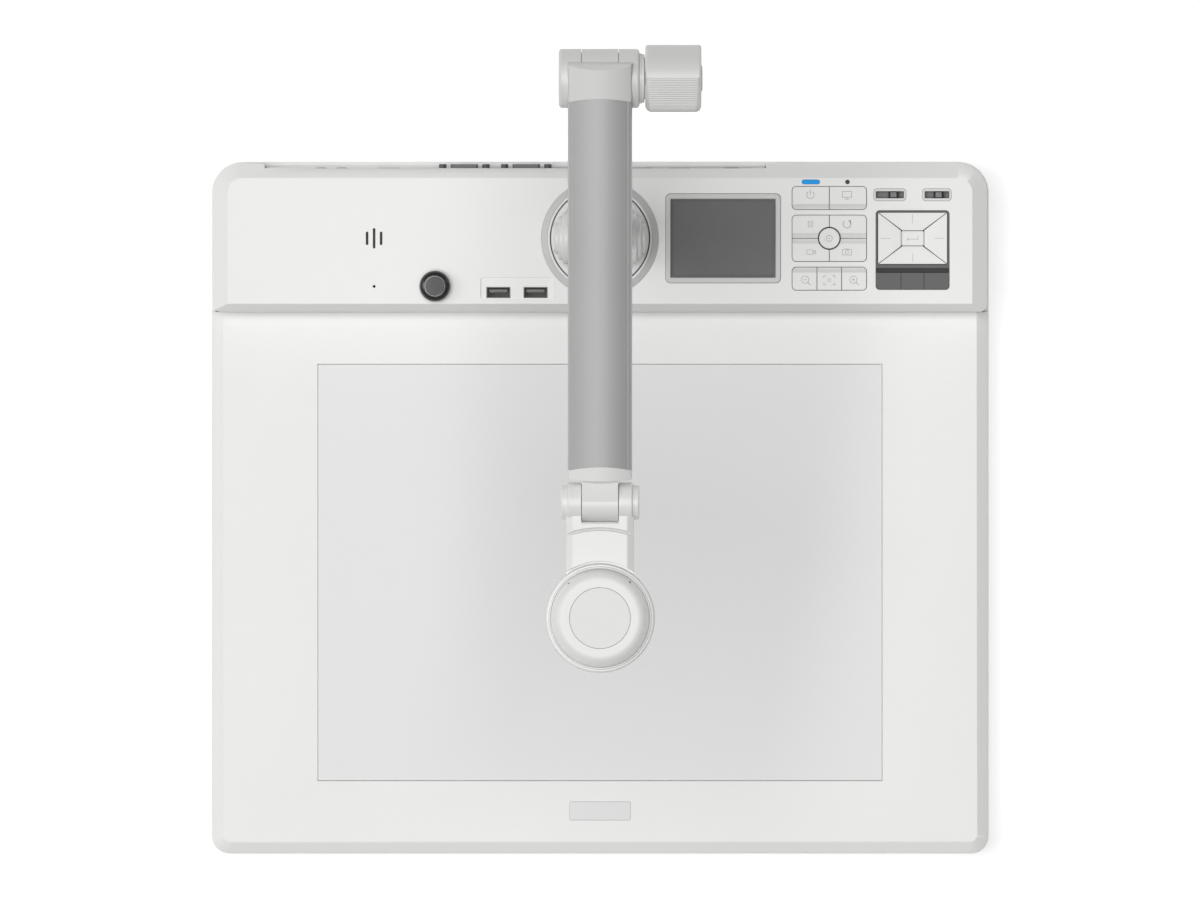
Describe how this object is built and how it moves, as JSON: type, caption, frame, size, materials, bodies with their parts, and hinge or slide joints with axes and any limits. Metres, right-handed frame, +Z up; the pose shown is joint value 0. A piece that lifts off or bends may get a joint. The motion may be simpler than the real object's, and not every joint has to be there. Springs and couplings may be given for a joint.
{
  "type": "document camera",
  "caption": "Desktop document camera with a flat back-lit stage, a raised control deck with keys and a small screen, and a jointed arm carrying a camera head.",
  "frame": {"origin": "on the table surface under the feet, at the middle of the plan of the whole object, arm included", "axes": "+X to the operator's right, +Y to the rear, +Z up; the operator sits at -Y"},
  "size_m": [0.45, 0.4638, 0.444],
  "materials": {
    "white_case": "fine textured off-white moulded plastic",
    "stage_white": "translucent white diffuser sheet, fine matt grain",
    "arm_plastic": "smooth off-white moulded plastic",
    "arm_tube": "silver-grey satin anodised aluminium",
    "key_white": "satin white keys with pale grey printed signs",
    "bezel_grey": "light grey chamfered frame",
    "screen_grey": "flat grey display behind a clear window",
    "dark_frame": "dark grey matt frame and keys",
    "led_blue": "blue light pipe",
    "rubber_black": "black rubber",
    "socket_metal": "plated steel socket shells",
    "socket_black": "black socket bodies",
    "board_green": "green circuit board",
    "ring_grey": "pale grey ring",
    "steel": "plain steel",
    "lens_dark": "coated front lens",
    "lamp_white": "white lamp diffuser ring"
  },
  "bodies": {
    "base": {"base_tray": "white_case", "stage_cover": "white_case", "stage_panel": "stage_white", "backlight_panel": "lamp_white", "deck_cover": "white_case", "name_plate": "stage_white", "rubber_feet": "rubber_black", "case_screws": "steel", "circuit_boards": "board_green", "screen_bezel": "bezel_grey", "screen": "screen_grey", "navigation_frame": "dark_frame", "slide_bezels": "bezel_grey", "indicator_lenses": "led_blue", "speaker": "socket_black", "arm_rest": "rubber_black", "usb_sockets": "socket_metal", "video_sockets": "socket_metal", "rear_sockets": "socket_black", "card_slot": "socket_black", "turret_ring": "ring_grey", "turret_bearing": "steel"},
    "turret": {"turret": "arm_plastic", "turret_nut": "steel", "shoulder_pin": "arm_plastic"},
    "lower_arm": {"lower_arm_foot": "arm_plastic", "lower_arm_tube": "arm_tube", "elbow_yoke": "arm_plastic"},
    "clamp": {"clamp_knob": "arm_plastic", "clamp_bolt": "steel"},
    "forearm": {"forearm_rear_cap": "arm_plastic", "forearm_tube": "arm_tube", "forearm_front_cap": "arm_plastic"},
    "neck": {"neck": "arm_plastic", "wrist_pin": "arm_plastic"},
    "head": {"head_shell": "arm_plastic", "head_disc": "stage_white", "lens_barrel": "dark_frame", "lens_glass": "lens_dark", "lamp_ring": "lamp_white"},
    "left_slider": {"left_slider": "dark_frame"},
    "right_slider": {"right_slider": "dark_frame"},
    "power_key": {"power_key": "key_white"},
    "source_key": {"source_key": "key_white"},
    "pause_key": {"pause_key": "key_white"},
    "rotate_key": {"rotate_key": "key_white"},
    "record_key": {"record_key": "key_white"},
    "capture_key": {"capture_key": "key_white"},
    "menu_key": {"menu_key": "key_white"},
    "zoom_out_key": {"zoom_out_key": "key_white"},
    "focus_key": {"focus_key": "key_white"},
    "zoom_in_key": {"zoom_in_key": "key_white"},
    "up_key": {"up_key": "key_white"},
    "down_key": {"down_key": "key_white"},
    "left_key": {"left_key": "key_white"},
    "right_key": {"right_key": "key_white"},
    "enter_key": {"enter_key": "key_white"},
    "left_soft_key": {"left_soft_key": "dark_frame"},
    "middle_soft_key": {"middle_soft_key": "dark_frame"},
    "right_soft_key": {"right_soft_key": "dark_frame"}
  },
  "joints": [
    {"name": "turret_pan", "type": "hinge", "parent": "base", "child": "turret", "pos_m": [0, 0.12418, 0.075], "axis": [0, 0, 1], "range_deg": [-90, 90]},
    {"name": "shoulder_tilt", "type": "hinge", "parent": "turret", "child": "lower_arm", "pos_m": [0, 0.12418, 0.075], "axis": [1, 0, 0], "range_deg": [-25, 45]},
    {"name": "elbow_tilt", "type": "hinge", "parent": "lower_arm", "child": "forearm", "pos_m": [0, 0.21282, 0.41772], "axis": [-1, 0, 0], "range_deg": [-25, 110]},
    {"name": "clamp_knob_turn", "type": "hinge", "parent": "lower_arm", "child": "clamp", "pos_m": [0, 0.21282, 0.41772], "axis": [1, 0, 0], "range_deg": [-90, 90]},
    {"name": "wrist_tilt", "type": "hinge", "parent": "forearm", "child": "neck", "pos_m": [0, -0.02805, 0.36694], "axis": [-1, 0, 0], "range_deg": [-30, 75]},
    {"name": "head_turn", "type": "hinge", "parent": "neck", "child": "head", "pos_m": [0, -0.09385, 0.36694], "axis": [0, 0, 1], "range_deg": [-90, 90]},
    {"name": "power_press", "type": "slide", "parent": "base", "child": "power_key", "axis": [0, 0, -1], "range_m": [0, 0.0008], "stiffness_N_per_m": 1500},
    {"name": "source_press", "type": "slide", "parent": "base", "child": "source_key", "axis": [0, 0, -1], "range_m": [0, 0.0008], "stiffness_N_per_m": 1500},
    {"name": "pause_press", "type": "slide", "parent": "base", "child": "pause_key", "axis": [0, 0, -1], "range_m": [0, 0.0008], "stiffness_N_per_m": 1500},
    {"name": "rotate_press", "type": "slide", "parent": "base", "child": "rotate_key", "axis": [0, 0, -1], "range_m": [0, 0.0008], "stiffness_N_per_m": 1500},
    {"name": "record_press", "type": "slide", "parent": "base", "child": "record_key", "axis": [0, 0, -1], "range_m": [0, 0.0008], "stiffness_N_per_m": 1500},
    {"name": "capture_press", "type": "slide", "parent": "base", "child": "capture_key", "axis": [0, 0, -1], "range_m": [0, 0.0008], "stiffness_N_per_m": 1500},
    {"name": "menu_press", "type": "slide", "parent": "base", "child": "menu_key", "axis": [0, 0, -1], "range_m": [0, 0.0008], "stiffness_N_per_m": 1500},
    {"name": "zoom_out_press", "type": "slide", "parent": "base", "child": "zoom_out_key", "axis": [0, 0, -1], "range_m": [0, 0.0008], "stiffness_N_per_m": 1500},
    {"name": "focus_press", "type": "slide", "parent": "base", "child": "focus_key", "axis": [0, 0, -1], "range_m": [0, 0.0008], "stiffness_N_per_m": 1500},
    {"name": "zoom_in_press", "type": "slide", "parent": "base", "child": "zoom_in_key", "axis": [0, 0, -1], "range_m": [0, 0.0008], "stiffness_N_per_m": 1500},
    {"name": "up_press", "type": "slide", "parent": "base", "child": "up_key", "axis": [0, 0, -1], "range_m": [0, 0.0008], "stiffness_N_per_m": 1500},
    {"name": "down_press", "type": "slide", "parent": "base", "child": "down_key", "axis": [0, 0, -1], "range_m": [0, 0.0008], "stiffness_N_per_m": 1500},
    {"name": "left_press", "type": "slide", "parent": "base", "child": "left_key", "axis": [0, 0, -1], "range_m": [0, 0.0008], "stiffness_N_per_m": 1500},
    {"name": "right_press", "type": "slide", "parent": "base", "child": "right_key", "axis": [0, 0, -1], "range_m": [0, 0.0008], "stiffness_N_per_m": 1500},
    {"name": "enter_press", "type": "slide", "parent": "base", "child": "enter_key", "axis": [0, 0, -1], "range_m": [0, 0.0008], "stiffness_N_per_m": 1500},
    {"name": "left_soft_press", "type": "slide", "parent": "base", "child": "left_soft_key", "axis": [0, 0, -1], "range_m": [0, 0.0008], "stiffness_N_per_m": 1500},
    {"name": "middle_soft_press", "type": "slide", "parent": "base", "child": "middle_soft_key", "axis": [0, 0, -1], "range_m": [0, 0.0008], "stiffness_N_per_m": 1500},
    {"name": "right_soft_press", "type": "slide", "parent": "base", "child": "right_soft_key", "axis": [0, 0, -1], "range_m": [0, 0.0008], "stiffness_N_per_m": 1500},
    {"name": "left_switch_slide", "type": "slide", "parent": "base", "child": "left_slider", "axis": [1, 0, 0], "range_m": [-0.007, 0.0029]},
    {"name": "right_switch_slide", "type": "slide", "parent": "base", "child": "right_slider", "axis": [1, 0, 0], "range_m": [-0.0048, 0.003]}
  ]
}
